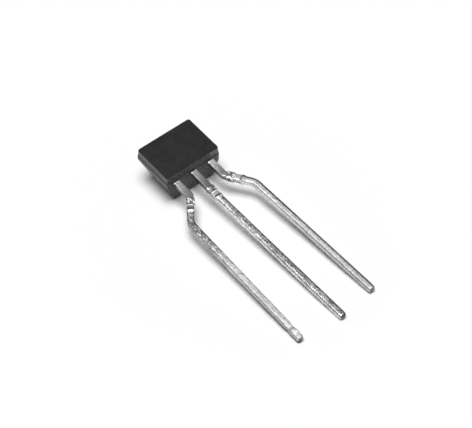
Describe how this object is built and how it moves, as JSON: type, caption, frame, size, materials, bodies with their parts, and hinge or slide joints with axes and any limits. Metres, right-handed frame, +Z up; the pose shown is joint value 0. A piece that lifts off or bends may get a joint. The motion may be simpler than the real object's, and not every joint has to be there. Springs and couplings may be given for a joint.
{
  "type": "to-92 transistor",
  "caption": "Small flat through-hole transistor: dark moulded body with a flat front face and tinned leads formed apart, lying at rest.",
  "frame": {"origin": "on the resting surface, under the middle of the part's outline", "axes": "+X across the leads from emitter to base, +Y from the lead tips towards the body's head, +Z up; the part lies as it rests, on the back edge of its lead end and the centre lead's tip, so its own plane is tilted 5.49 degrees about X"},
  "size_m": [0.0056, 0.0162, 0.0026],
  "materials": {
    "epoxy": "moulded epoxy, fine matt grain, smoother on the flat face",
    "tinned_lead_emitter": "dip-tinned, slightly uneven",
    "tinned_lead_collector": "dip-tinned, slightly uneven",
    "tinned_lead_base": "dip-tinned, slightly uneven",
    "silicon": "polished silicon",
    "die_attach": "silver-filled layer",
    "emitter_bond_wire": "bright gold wire",
    "base_bond_wire": "bright gold wire"
  },
  "bodies": {
    "root": {"moulded_body": "epoxy", "emitter_lead": "tinned_lead_emitter", "collector_lead": "tinned_lead_collector", "base_lead": "tinned_lead_base", "silicon_die": "silicon", "die_attach": "die_attach", "emitter_bond_wire": "emitter_bond_wire", "base_bond_wire": "base_bond_wire"}
  },
  "joints": []
}
